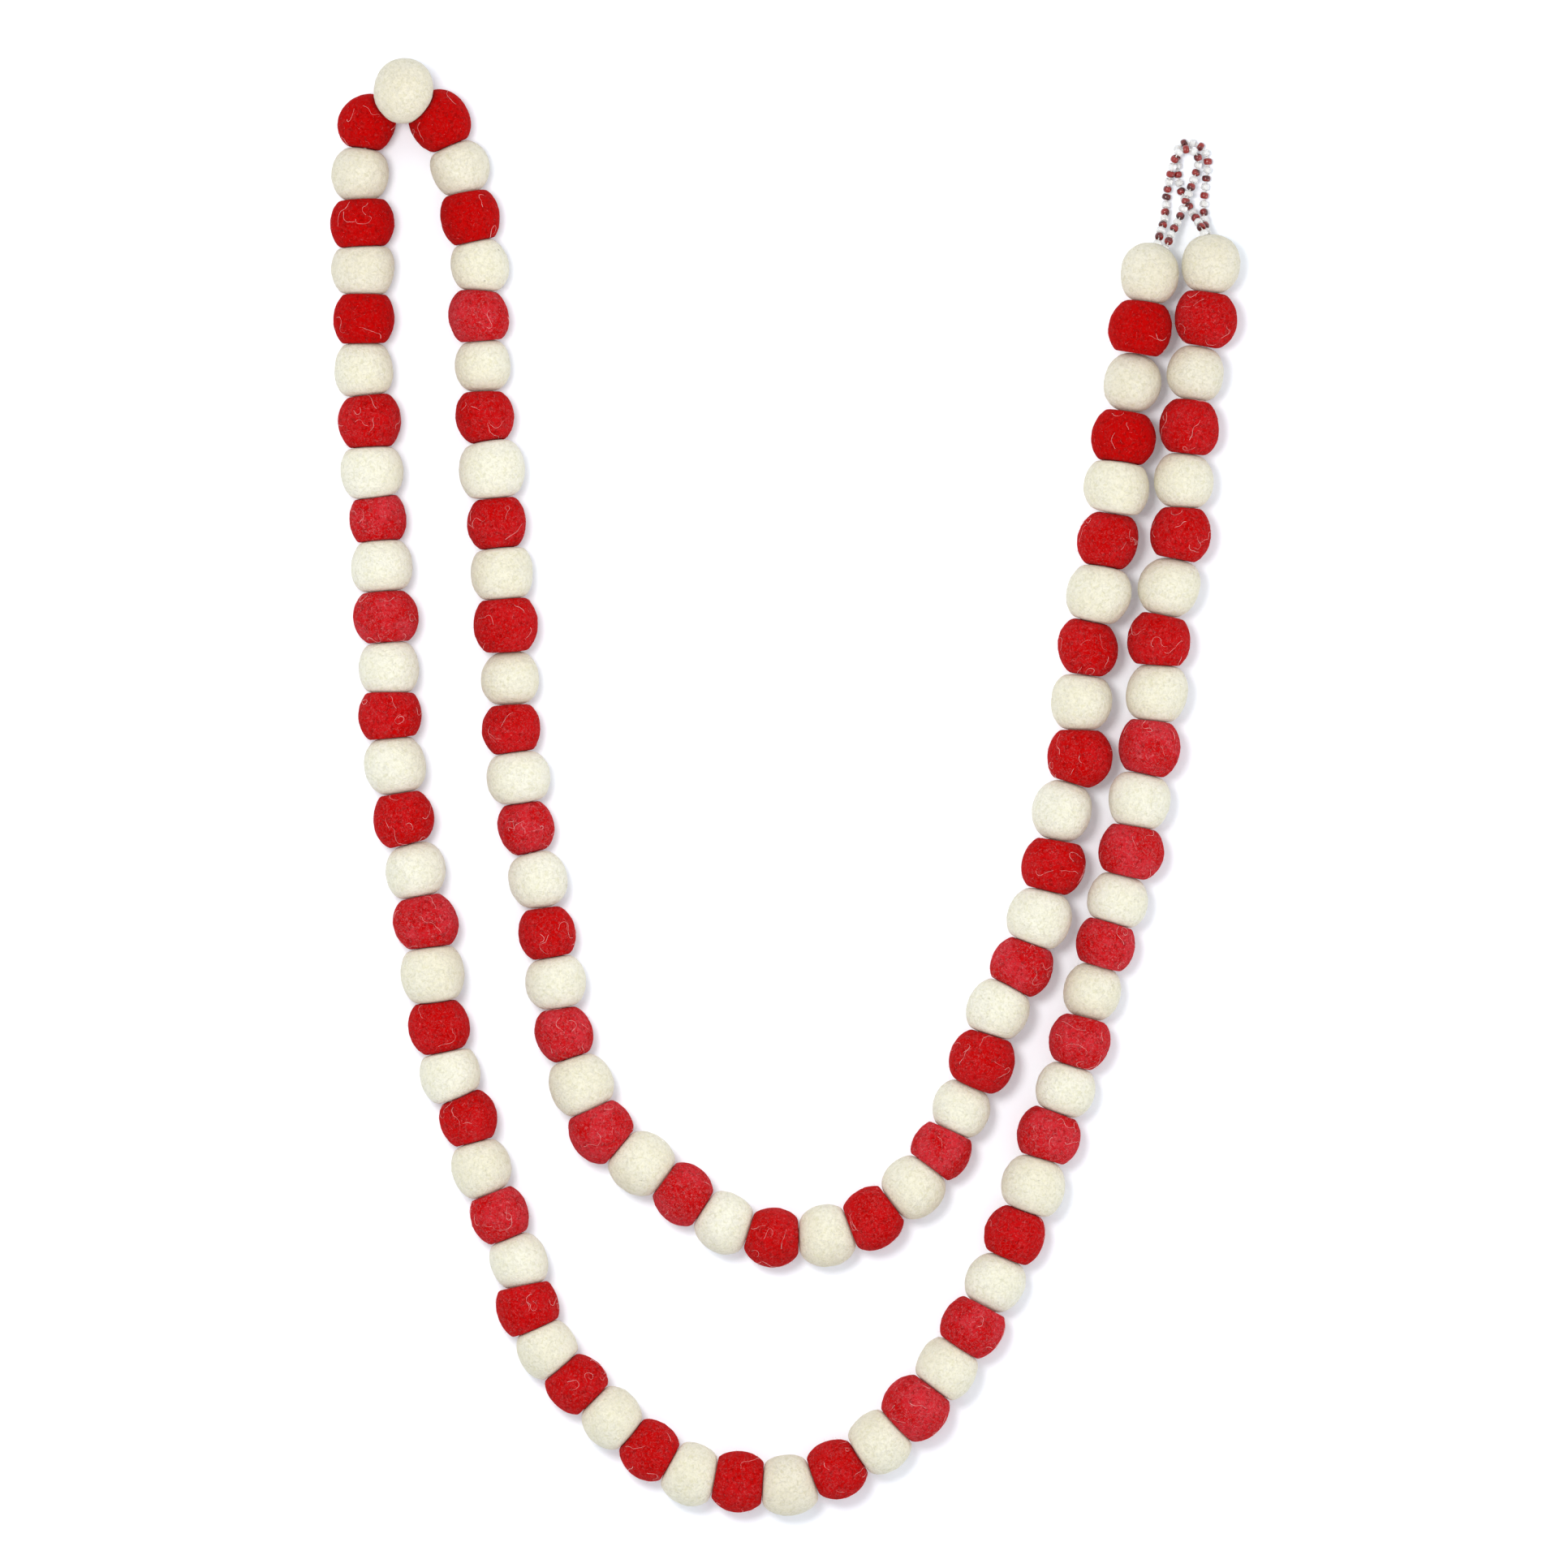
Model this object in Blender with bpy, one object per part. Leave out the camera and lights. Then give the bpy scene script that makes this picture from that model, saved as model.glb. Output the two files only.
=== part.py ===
"""Felt ball garland, laid flat in a long double U with a beaded hanging loop at each end.

105 wool felt balls, cream and red in turn, are threaded on one string. Each ball is a felted
ball pressed flat where it meets its neighbours and where it lies on the surface, which is z = 0.
The garland is strung from the end of the inner U, round the turn at the top left, to the end of
the outer U. Tables and driving dimensions are in millimetres; the model itself is in metres.
"""
import math
from collections import namedtuple

import bmesh
import bpy
from mathutils import Matrix, Vector

MM = 0.001

# Felt balls
SMALLEST_BALL = 20.9      # across the string, size grade 1
GRADE_STEP = 0.8          # from one size grade to the next
SHORTEST_BALL = 16.5      # along the string, length grade 0
LENGTH_STEP = 0.5         # from one length grade to the next
SIDE_STEP = 0.4           # from one side grade to the next
LOOSE_LENGTH = 1.04       # length along the string before the neighbours press, as a share of across
SQUASH = 0.4              # how far a ball's underside is flattened on the surface
BALL_SIDES = 8
BALL_RINGS = 5
TOUCHING_GAP = 0.3        # kept between pieces that touch

# Stringing thread and the bores it runs through
THREAD_RADIUS = 0.5
BORE_RADIUS = 1.2
BORE_OVERSHOOT = 4.0      # the bore runs out through both end balls
STRING_HEIGHT = 10.8

# Beaded hanging loops
LOOP_RADIUS = 1.5
LOOP_POINTS = 30

# The middle of the laid-out garland, in the tables' own coordinates
LAYOUT_CENTRE = (-0.06, -0.75)

# Size grade of each ball in stringing order, ten to a line: 1 is the smallest, 5 the largest
SIZE_GRADES = (
    "2424535334"
    "3443451234"
    "3333444222"
    "2132144352"
    "1323235124"
    "4434423434"
    "3324533233"
    "2433323333"
    "4534234323"
    "1324343433"
    "23132"
)

# How much of the string each ball takes up, in the same order: 0 is the least, 9 the most
LENGTH_GRADES = (
    "8796396969"
    "9764482044"
    "4634636736"
    "6734573676"
    "3625240142"
    "1447313631"
    "7757660454"
    "3002350336"
    "2723566425"
    "5125587587"
    "59595"
)

# How far each ball sits to the side of the string's smooth route: 5 is on it, 9 furthest left
SIDE_GRADES = (
    "5544555459"
    "1477374587"
    "8765695655"
    "2557544558"
    "5505430045"
    "5446455673"
    "2379731646"
    "8435552424"
    "4455455644"
    "5544523753"
    "78730"
)

# Where the string passes: how many balls are strung before the point, and the point
StringPoint = namedtuple("StringPoint", "balls x y z")
STRING_ROUTE = (
    StringPoint(0, 135.9, 199.6, STRING_HEIGHT),
    StringPoint(2, 129.9, 159.6, STRING_HEIGHT),
    StringPoint(4, 123.9, 119.4, STRING_HEIGHT),
    StringPoint(6, 117.3, 80.7, STRING_HEIGHT),
    StringPoint(8, 110.3, 40.6, STRING_HEIGHT),
    StringPoint(10, 105.8, 0.6, STRING_HEIGHT),
    StringPoint(12, 96.2, -39.0, STRING_HEIGHT),
    StringPoint(15, 75.6, -91.4, STRING_HEIGHT),
    StringPoint(18, 52.8, -140.7, STRING_HEIGHT),
    StringPoint(20, 23.4, -162.8, STRING_HEIGHT),
    StringPoint(22, -14.1, -163.8, STRING_HEIGHT),
    StringPoint(24, -45.4, -145.2, STRING_HEIGHT),
    StringPoint(26, -71.6, -118.8, STRING_HEIGHT),
    StringPoint(27, -78.9, -100.9, STRING_HEIGHT),
    StringPoint(29, -86.6, -63.6, STRING_HEIGHT),
    StringPoint(32, -97.7, -5.6, STRING_HEIGHT),
    StringPoint(35, -103.0, 49.5, STRING_HEIGHT),
    StringPoint(38, -107.5, 107.1, STRING_HEIGHT),
    StringPoint(41, -112.9, 164.3, STRING_HEIGHT),
    StringPoint(44, -118.4, 219.6, STRING_HEIGHT),
    StringPoint(45, -123.4, 236.5, 11.4),
    StringPoint(46, -134.4, 251.3, 14.8),
    StringPoint(47, -148.1, 250.4, 14.2),
    StringPoint(48, -155.8, 235.2, 11.2),
    StringPoint(49, -156.8, 216.9, STRING_HEIGHT),
    StringPoint(50, -156.0, 199.2, STRING_HEIGHT),
    StringPoint(53, -155.0, 144.9, STRING_HEIGHT),
    StringPoint(56, -150.1, 90.4, STRING_HEIGHT),
    StringPoint(59, -146.4, 34.8, STRING_HEIGHT),
    StringPoint(62, -139.0, -21.7, STRING_HEIGHT),
    StringPoint(65, -129.3, -79.2, STRING_HEIGHT),
    StringPoint(68, -115.1, -132.0, STRING_HEIGHT),
    StringPoint(71, -96.9, -184.4, STRING_HEIGHT),
    StringPoint(72, -92.0, -200.0, STRING_HEIGHT),
    StringPoint(73, -83.1, -214.2, STRING_HEIGHT),
    StringPoint(74, -71.0, -227.0, STRING_HEIGHT),
    StringPoint(76, -42.1, -249.7, STRING_HEIGHT),
    StringPoint(79, 9.6, -255.4, STRING_HEIGHT),
    StringPoint(80, 27.1, -247.0, STRING_HEIGHT),
    StringPoint(82, 54.0, -221.7, STRING_HEIGHT),
    StringPoint(85, 81.4, -174.6, STRING_HEIGHT),
    StringPoint(88, 100.4, -120.3, STRING_HEIGHT),
    StringPoint(91, 116.0, -66.7, STRING_HEIGHT),
    StringPoint(94, 129.0, -14.6, STRING_HEIGHT),
    StringPoint(97, 137.5, 44.6, STRING_HEIGHT),
    StringPoint(100, 146.6, 103.5, STRING_HEIGHT),
    StringPoint(103, 153.4, 162.1, STRING_HEIGHT),
    StringPoint(105, 155.7, 202.4, STRING_HEIGHT),
)

# A ball that the turn squeezes up off the surface, and how long it is for its width
LiftedBall = namedtuple("LiftedBall", "number x y z stretch")
LIFTED_BALLS = (LiftedBall(47, -140.9, 256.3, 17.5, 0.85),)

# Red balls strung as one run: the first and last ball's number
RedRun = namedtuple("RedRun", "name first last")
RED_RUNS = (
    RedRun("red_balls_inner_right", 2, 22),
    RedRun("red_balls_inner_left", 24, 46),
    RedRun("red_balls_outer_left", 48, 62),
    RedRun("red_balls_outer_bottom", 64, 78),
    RedRun("red_balls_outer_right", 80, 104),
)

# The hanging loops leave the end balls at the string's height and come down to the surface
LoopPoint = namedtuple("LoopPoint", "x y z")
INNER_LOOP = (
    LoopPoint(137.6, 201.4, 10.6),
    LoopPoint(138.5, 204.6, 8.6),
    LoopPoint(139.8, 208.6, 5.4),
    LoopPoint(140.6, 213.2, 2.6),
    LoopPoint(141.0, 218.2, 1.8),
    LoopPoint(141.6, 222.4, 2.4),
    LoopPoint(142.7, 227.4, 4.1),
    LoopPoint(143.9, 231.8, 5.1),
    LoopPoint(145.8, 234.9, 5.2),
    LoopPoint(148.8, 235.8, 4.9),
    LoopPoint(151.5, 234.7, 4.7),
    LoopPoint(152.8, 232.0, 3.8),
    LoopPoint(152.3, 228.6, 3.0),
    LoopPoint(151.2, 225.0, 3.2),
    LoopPoint(149.9, 221.4, 4.4),
    LoopPoint(148.3, 217.2, 5.1),
    LoopPoint(146.7, 212.6, 5.2),
    LoopPoint(145.2, 209.2, 6.2),
    LoopPoint(143.5, 206.0, 8.2),
    LoopPoint(142.1, 203.2, 9.8),
    LoopPoint(141.4, 201.0, 10.8),
)
OUTER_LOOP = (
    LoopPoint(155.7, 204.4, 8.6),
    LoopPoint(155.2, 207.6, 6.0),
    LoopPoint(154.9, 211.2, 3.2),
    LoopPoint(154.9, 215.6, 1.9),
    LoopPoint(155.3, 221.4, 1.6),
    LoopPoint(156.0, 227.0, 1.6),
    LoopPoint(156.4, 231.0, 1.6),
    LoopPoint(155.7, 234.5, 1.6),
    LoopPoint(153.5, 237.0, 1.6),
    LoopPoint(150.6, 238.2, 1.6),
    LoopPoint(147.7, 238.2, 1.6),
    LoopPoint(145.5, 236.5, 1.6),
    LoopPoint(144.8, 233.4, 1.6),
    LoopPoint(145.1, 229.8, 1.6),
    LoopPoint(145.4, 225.4, 1.6),
    LoopPoint(146.4, 220.8, 1.6),
    LoopPoint(148.1, 217.0, 1.6),
    LoopPoint(150.1, 213.4, 2.2),
    LoopPoint(152.0, 209.8, 6.2),
    LoopPoint(153.6, 206.8, 10.2),
    LoopPoint(154.6, 204.4, 12.3),
)

Ball = namedtuple("Ball", "number across stretch centre start end")


def clear_scene():
    for thing in list(bpy.data.objects):
        bpy.data.objects.remove(thing, do_unlink=True)


def new_collection(name):
    collection = bpy.data.collections.new(name)
    bpy.context.scene.collection.children.link(collection)
    return collection


def plain_material(name, colour, roughness, metallic=0.0):
    material = bpy.data.materials.new(name)
    material.use_nodes = True
    shader = material.node_tree.nodes["Principled BSDF"]
    shader.inputs["Base Color"].default_value = (*colour, 1.0)
    shader.inputs["Roughness"].default_value = roughness
    shader.inputs["Metallic"].default_value = metallic
    material.diffuse_color = (*colour, 1.0)
    return material


def laid_out(point):
    """A table's point in metres, measured from the middle of the garland."""
    return Vector((point.x - LAYOUT_CENTRE[0], point.y - LAYOUT_CENTRE[1], point.z)) * MM


def smooth_curve(points, stations):
    """A function that gives the point at any station on the smooth curve through the points."""
    steps = [after - before for before, after in zip(stations, stations[1:])]
    slopes = [(after - before) / step for before, after, step in zip(points, points[1:], steps)]
    tangents = [slopes[0]]
    for index in range(1, len(slopes)):
        before, after = steps[index - 1], steps[index]
        tangents.append((slopes[index - 1] * after + slopes[index] * before) / (before + after))
    tangents.append(slopes[-1])

    def point_at(station):
        index = 0
        while index < len(steps) - 1 and station > stations[index + 1]:
            index += 1
        step = steps[index]
        share = (station - stations[index]) / step
        rest = 1.0 - share
        start = points[index] * (1.0 + 2.0 * share) + tangents[index] * (step * share)
        end = points[index + 1] * (1.0 + 2.0 * rest) - tangents[index + 1] * (step * rest)
        return start * rest * rest + end * share * share

    return point_at


def string_route():
    """The string's smooth curve, and the length of it that each ball reaches."""
    reached = [0.0]
    for grade in LENGTH_GRADES:
        reached.append(reached[-1] + (SHORTEST_BALL + LENGTH_STEP * int(grade)) * MM)
    route = smooth_curve([laid_out(point) for point in STRING_ROUTE],
                         [reached[point.balls] for point in STRING_ROUTE])
    return route, reached


def string_points():
    """The string's points between one ball and the next, from one end to the other."""
    route, reached = string_route()
    return [route(station) for station in reached]


def strung_balls():
    """Every ball: its width, its stretch, its middle, and where the string goes in and out."""
    route, reached = string_route()
    lifted = {row.number: row for row in LIFTED_BALLS}
    balls = []
    for number, (before, after) in enumerate(zip(reached, reached[1:]), start=1):
        start, end = route(before), route(after)
        across = (SMALLEST_BALL + GRADE_STEP * (int(SIZE_GRADES[number - 1]) - 1)) * MM
        aside = SIDE_STEP * (int(SIDE_GRADES[number - 1]) - 5) * MM
        along = (end - start).normalized()
        centre = route((before + after) / 2.0) + Vector((-along.y, along.x, 0.0)) * aside
        centre.z = across / 2.0 - SQUASH * MM
        stretch = 1.0
        if number in lifted:
            centre = laid_out(lifted[number])
            stretch = lifted[number].stretch
        balls.append(Ball(number, across, stretch, centre, start, end))
    return balls


def cut_flat(shape, point, outward):
    """Cut away what lies beyond a plane and close the cut with a flat face."""
    geometry = shape.verts[:] + shape.edges[:] + shape.faces[:]
    cut = bmesh.ops.bisect_plane(shape, geom=geometry, dist=1e-7, plane_co=point,
                                 plane_no=outward, clear_outer=True)
    rim = [item for item in cut["geom_cut"] if isinstance(item, bmesh.types.BMEdge)]
    if rim:
        bmesh.ops.contextual_create(shape, geom=rim)


def add_ball(shape, ball, neighbours):
    """Add one pressed ball to a bmesh: a barrel-like ball cut by its neighbours and the surface."""
    piece = bmesh.new()
    bmesh.ops.create_uvsphere(piece, u_segments=BALL_SIDES, v_segments=BALL_RINGS, radius=1.0)
    axis = (ball.end - ball.start).normalized()
    side = axis.cross(Vector((0.0, 0.0, 1.0))).normalized()
    below = axis.cross(side)
    widest_ring = math.sin(2.0 * math.pi / BALL_RINGS)
    radius = ball.across / 2.0 / widest_ring
    length = ball.across / 2.0 * LOOSE_LENGTH * ball.stretch
    frame = Matrix((below * radius, side * radius, axis * length)).transposed().to_4x4()
    bmesh.ops.transform(piece, matrix=Matrix.Translation(ball.centre) @ frame, verts=piece.verts)
    bmesh.ops.recalc_face_normals(piece, faces=piece.faces)
    for neighbour in neighbours:
        contact = ball.end if neighbour.number > ball.number else ball.start
        towards = (neighbour.centre - ball.centre).normalized()
        cut_flat(piece, contact - towards * (TOUCHING_GAP / 2.0 * MM), towards)
    cut_flat(piece, Vector((0.0, 0.0, 0.0)), Vector((0.0, 0.0, -1.0)))
    pressed = bpy.data.meshes.new("pressed_ball")
    piece.to_mesh(pressed)
    piece.free()
    shape.from_mesh(pressed)
    bpy.data.meshes.remove(pressed)


def mesh_object(name, shape, collection, material=None):
    mesh = bpy.data.meshes.new(name)
    bmesh.ops.recalc_face_normals(shape, faces=shape.faces)
    shape.to_mesh(mesh)
    shape.free()
    if material:
        mesh.materials.append(material)
    piece = bpy.data.objects.new(name, mesh)
    collection.objects.link(piece)
    return piece


def tube(name, points, radius, resolution, collection, material=None):
    """A round tube with filled ends along the points."""
    curve = bpy.data.curves.new(name, "CURVE")
    curve.dimensions = "3D"
    curve.bevel_depth = radius
    curve.bevel_resolution = resolution
    curve.use_fill_caps = True
    spline = curve.splines.new("POLY")
    spline.points.add(len(points) - 1)
    for knot, point in zip(spline.points, points):
        knot.co = (*point, 1.0)
    if material:
        curve.materials.append(material)
    piece = bpy.data.objects.new(name, curve)
    collection.objects.link(piece)
    return piece


def tube_as_mesh(name, points, radius, collection):
    """A four-sided tube whose ends are welded on, so that a Boolean can use it."""
    source = tube(name + "_path", points, radius, 0, collection)
    bpy.context.view_layer.update()
    evaluated = source.evaluated_get(bpy.context.evaluated_depsgraph_get())
    mesh = bpy.data.meshes.new_from_object(evaluated)
    shape = bmesh.new()
    shape.from_mesh(mesh)
    bmesh.ops.remove_doubles(shape, verts=shape.verts, dist=1e-6)
    piece = mesh_object(name, shape, collection)
    piece.matrix_world = source.matrix_world
    bpy.data.meshes.remove(mesh)
    bpy.data.objects.remove(source, do_unlink=True)
    piece.hide_render = True
    piece.display_type = "WIRE"
    return piece


def add_boolean(piece, operation, other):
    modifier = piece.modifiers.new(operation.lower(), "BOOLEAN")
    modifier.operation = operation
    modifier.solver = "EXACT"
    modifier.object = other


def neighbours_of(ball, balls):
    """The balls strung just before and just after one, where it has them."""
    return [other for other in balls if abs(other.number - ball.number) == 1]


def bore_route(points):
    """The string's points, with both ends run on past the end balls."""
    first = (points[0] - points[1]).normalized() * (BORE_OVERSHOOT * MM)
    last = (points[-1] - points[-2]).normalized() * (BORE_OVERSHOOT * MM)
    return [points[0] + first, *points[1:-1], points[-1] + last]


def make_cream_balls(balls, bore, parts, felt):
    """Each cream ball is every second one, pierced where the string runs through it."""
    for count, ball in enumerate(balls[::2], start=1):
        shape = bmesh.new()
        add_ball(shape, ball, neighbours_of(ball, balls))
        piece = mesh_object(f"cream_ball_{count:02d}", shape, parts, felt)
        add_boolean(piece, "DIFFERENCE", bore)


def run_thread(run, balls, points):
    """The thread through a run of red balls, into half of the cream ball at each of its ends."""
    before = balls[run.first - 2]
    after = balls[run.last]
    half_gap = TOUCHING_GAP / 2.0 * MM
    route = points[run.first - 1:run.last + 1]
    if before.number == 1:
        route.insert(0, points[0])
    else:
        middle = (before.start + before.end) / 2.0
        route.insert(0, middle + (before.end - before.start).normalized() * half_gap)
    if after.number == len(balls):
        route.append(points[-1])
    else:
        middle = (after.start + after.end) / 2.0
        route.append(middle - (after.end - after.start).normalized() * half_gap)
    return route


def make_red_runs(balls, points, parts, cutters, felt):
    """Red balls of a run, made one solid by the thread that they are strung on."""
    for run in RED_RUNS:
        shape = bmesh.new()
        for ball in balls[run.first - 1:run.last:2]:
            add_ball(shape, ball, neighbours_of(ball, balls))
        piece = mesh_object(run.name, shape, parts, felt)
        route = run_thread(run, balls, points)
        thread = tube_as_mesh(run.name + "_thread", route, THREAD_RADIUS * MM, cutters)
        add_boolean(piece, "UNION", thread)


def make_hanging_loop(name, rows, parts, glass):
    """A loop of seed beads on thread, as one tube along its smooth route."""
    points = [laid_out(row) for row in rows]
    stations = [0.0]
    for before, after in zip(points, points[1:]):
        stations.append(stations[-1] + (after - before).length)
    route = smooth_curve(points, stations)
    last = LOOP_POINTS - 1
    along = [route(stations[-1] * count / last) for count in range(LOOP_POINTS)]
    tube(name, along, LOOP_RADIUS * MM, 2, parts, glass)


def main():
    clear_scene()
    parts = new_collection("felt_ball_garland")
    cutters = new_collection("cutters")
    cream_felt = plain_material("cream_felt", (0.86, 0.82, 0.68), 0.95)
    red_felt = plain_material("red_felt", (0.50, 0.006, 0.014), 0.95)
    red_glass = plain_material("red_glass", (0.30, 0.01, 0.015), 0.1)
    points = string_points()
    balls = strung_balls()
    bore = tube_as_mesh("string_bore", bore_route(points), BORE_RADIUS * MM, cutters)
    make_cream_balls(balls, bore, parts, cream_felt)
    make_red_runs(balls, points, parts, cutters, red_felt)
    make_hanging_loop("hanging_loop_inner", INNER_LOOP, parts, red_glass)
    make_hanging_loop("hanging_loop_outer", OUTER_LOOP, parts, red_glass)


main()
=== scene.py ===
import math
from collections import namedtuple

import bmesh
import bpy
import numpy as np
from bpy.props import FloatProperty, FloatVectorProperty, IntProperty, PointerProperty
from mathutils import Matrix, Vector


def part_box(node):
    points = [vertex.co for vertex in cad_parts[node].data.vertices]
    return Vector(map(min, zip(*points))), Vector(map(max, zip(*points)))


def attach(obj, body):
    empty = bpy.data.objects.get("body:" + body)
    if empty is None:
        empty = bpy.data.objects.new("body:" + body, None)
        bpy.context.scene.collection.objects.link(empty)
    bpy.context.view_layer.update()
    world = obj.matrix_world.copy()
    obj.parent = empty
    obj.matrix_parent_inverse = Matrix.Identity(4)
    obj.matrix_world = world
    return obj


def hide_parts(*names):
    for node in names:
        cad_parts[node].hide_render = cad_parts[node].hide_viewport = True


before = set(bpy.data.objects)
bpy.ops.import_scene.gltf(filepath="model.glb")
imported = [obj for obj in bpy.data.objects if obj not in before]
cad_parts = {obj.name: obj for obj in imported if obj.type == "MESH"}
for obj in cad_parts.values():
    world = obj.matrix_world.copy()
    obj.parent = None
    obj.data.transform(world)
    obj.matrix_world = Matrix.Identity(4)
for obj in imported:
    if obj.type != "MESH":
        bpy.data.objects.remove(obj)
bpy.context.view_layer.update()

bl_info = {
    "name": "Felt ball garland",
    "version": (1, 0, 0),
    "blender": (4, 5, 0),
    "location": "View3D > Sidebar > Garland",
    "description": "Makes a garland of felt balls with a beaded hanging loop at each end",
    "category": "Add Mesh",
}

MM = 0.001

# --- Sizes shared with the solids, in millimetres ---

SMALLEST_BALL = 20.9
GRADE_STEP = 0.8
SHORTEST_BALL = 16.5
LENGTH_STEP = 0.5
SIDE_STEP = 0.4
SQUASH = 0.4
STRING_HEIGHT = 10.8
LAYOUT_CENTRE = (-0.06, -0.75)

# Size grade of each ball in stringing order, ten to a line: 1 is the smallest, 5 the largest
SIZE_GRADES = (
    "2424535334"
    "3443451234"
    "3333444222"
    "2132144352"
    "1323235124"
    "4434423434"
    "3324533233"
    "2433323333"
    "4534234323"
    "1324343433"
    "23132"
)

# Felt tone of each red ball in stringing order: s scarlet, c crimson, r raspberry
RED_TONES = (
    "ssccccrcrc"
    "crrrcrcccc"
    "rssssscrrc"
    "crccrccccc"
    "rrcrrrrrcc"
    "cc"
)

# Felt tone of each cream ball in stringing order: g greyish, i ivory, w pale
CREAM_TONES = (
    "ggiiiwwwwi"
    "iwiiwwwiiw"
    "iiggggiwww"
    "wwiwiwiiig"
    "iiwiwiwwii"
    "igg"
)

# How much of the string each ball takes up, in the same order: 0 is the least, 9 the most
LENGTH_GRADES = (
    "8796396969"
    "9764482044"
    "4634636736"
    "6734573676"
    "3625240142"
    "1447313631"
    "7757660454"
    "3002350336"
    "2723566425"
    "5125587587"
    "59595"
)

# How far each ball sits to the side of the string's smooth route: 5 is on it, 9 furthest left
SIDE_GRADES = (
    "5544555459"
    "1477374587"
    "8765695655"
    "2557544558"
    "5505430045"
    "5446455673"
    "2379731646"
    "8435552424"
    "4455455644"
    "5544523753"
    "78730"
)

# Where the string passes: how many balls are strung before the point, and the point
StringPoint = namedtuple("StringPoint", "balls x y z")
STRING_ROUTE = (
    StringPoint(0, 135.9, 199.6, STRING_HEIGHT),
    StringPoint(2, 129.9, 159.6, STRING_HEIGHT),
    StringPoint(4, 123.9, 119.4, STRING_HEIGHT),
    StringPoint(6, 117.3, 80.7, STRING_HEIGHT),
    StringPoint(8, 110.3, 40.6, STRING_HEIGHT),
    StringPoint(10, 105.8, 0.6, STRING_HEIGHT),
    StringPoint(12, 96.2, -39.0, STRING_HEIGHT),
    StringPoint(15, 75.6, -91.4, STRING_HEIGHT),
    StringPoint(18, 52.8, -140.7, STRING_HEIGHT),
    StringPoint(20, 23.4, -162.8, STRING_HEIGHT),
    StringPoint(22, -14.1, -163.8, STRING_HEIGHT),
    StringPoint(24, -45.4, -145.2, STRING_HEIGHT),
    StringPoint(26, -71.6, -118.8, STRING_HEIGHT),
    StringPoint(27, -78.9, -100.9, STRING_HEIGHT),
    StringPoint(29, -86.6, -63.6, STRING_HEIGHT),
    StringPoint(32, -97.7, -5.6, STRING_HEIGHT),
    StringPoint(35, -103.0, 49.5, STRING_HEIGHT),
    StringPoint(38, -107.5, 107.1, STRING_HEIGHT),
    StringPoint(41, -112.9, 164.3, STRING_HEIGHT),
    StringPoint(44, -118.4, 219.6, STRING_HEIGHT),
    StringPoint(45, -123.4, 236.5, 11.4),
    StringPoint(46, -134.4, 251.3, 14.8),
    StringPoint(47, -148.1, 250.4, 14.2),
    StringPoint(48, -155.8, 235.2, 11.2),
    StringPoint(49, -156.8, 216.9, STRING_HEIGHT),
    StringPoint(50, -156.0, 199.2, STRING_HEIGHT),
    StringPoint(53, -155.0, 144.9, STRING_HEIGHT),
    StringPoint(56, -150.1, 90.4, STRING_HEIGHT),
    StringPoint(59, -146.4, 34.8, STRING_HEIGHT),
    StringPoint(62, -139.0, -21.7, STRING_HEIGHT),
    StringPoint(65, -129.3, -79.2, STRING_HEIGHT),
    StringPoint(68, -115.1, -132.0, STRING_HEIGHT),
    StringPoint(71, -96.9, -184.4, STRING_HEIGHT),
    StringPoint(72, -92.0, -200.0, STRING_HEIGHT),
    StringPoint(73, -83.1, -214.2, STRING_HEIGHT),
    StringPoint(74, -71.0, -227.0, STRING_HEIGHT),
    StringPoint(76, -42.1, -249.7, STRING_HEIGHT),
    StringPoint(79, 9.6, -255.4, STRING_HEIGHT),
    StringPoint(80, 27.1, -247.0, STRING_HEIGHT),
    StringPoint(82, 54.0, -221.7, STRING_HEIGHT),
    StringPoint(85, 81.4, -174.6, STRING_HEIGHT),
    StringPoint(88, 100.4, -120.3, STRING_HEIGHT),
    StringPoint(91, 116.0, -66.7, STRING_HEIGHT),
    StringPoint(94, 129.0, -14.6, STRING_HEIGHT),
    StringPoint(97, 137.5, 44.6, STRING_HEIGHT),
    StringPoint(100, 146.6, 103.5, STRING_HEIGHT),
    StringPoint(103, 153.4, 162.1, STRING_HEIGHT),
    StringPoint(105, 155.7, 202.4, STRING_HEIGHT),
)

# A ball that the turn squeezes up off the surface, and how long it is for its width
LiftedBall = namedtuple("LiftedBall", "number x y z stretch")
LIFTED_BALLS = (LiftedBall(47, -140.9, 256.3, 17.5, 0.85),)

# Red balls strung as one run in the solids: the first and last ball's number
RedRun = namedtuple("RedRun", "name first last")
RED_RUNS = (
    RedRun("red_balls_inner_right", 2, 22),
    RedRun("red_balls_inner_left", 24, 46),
    RedRun("red_balls_outer_left", 48, 62),
    RedRun("red_balls_outer_bottom", 64, 78),
    RedRun("red_balls_outer_right", 80, 104),
)

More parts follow.
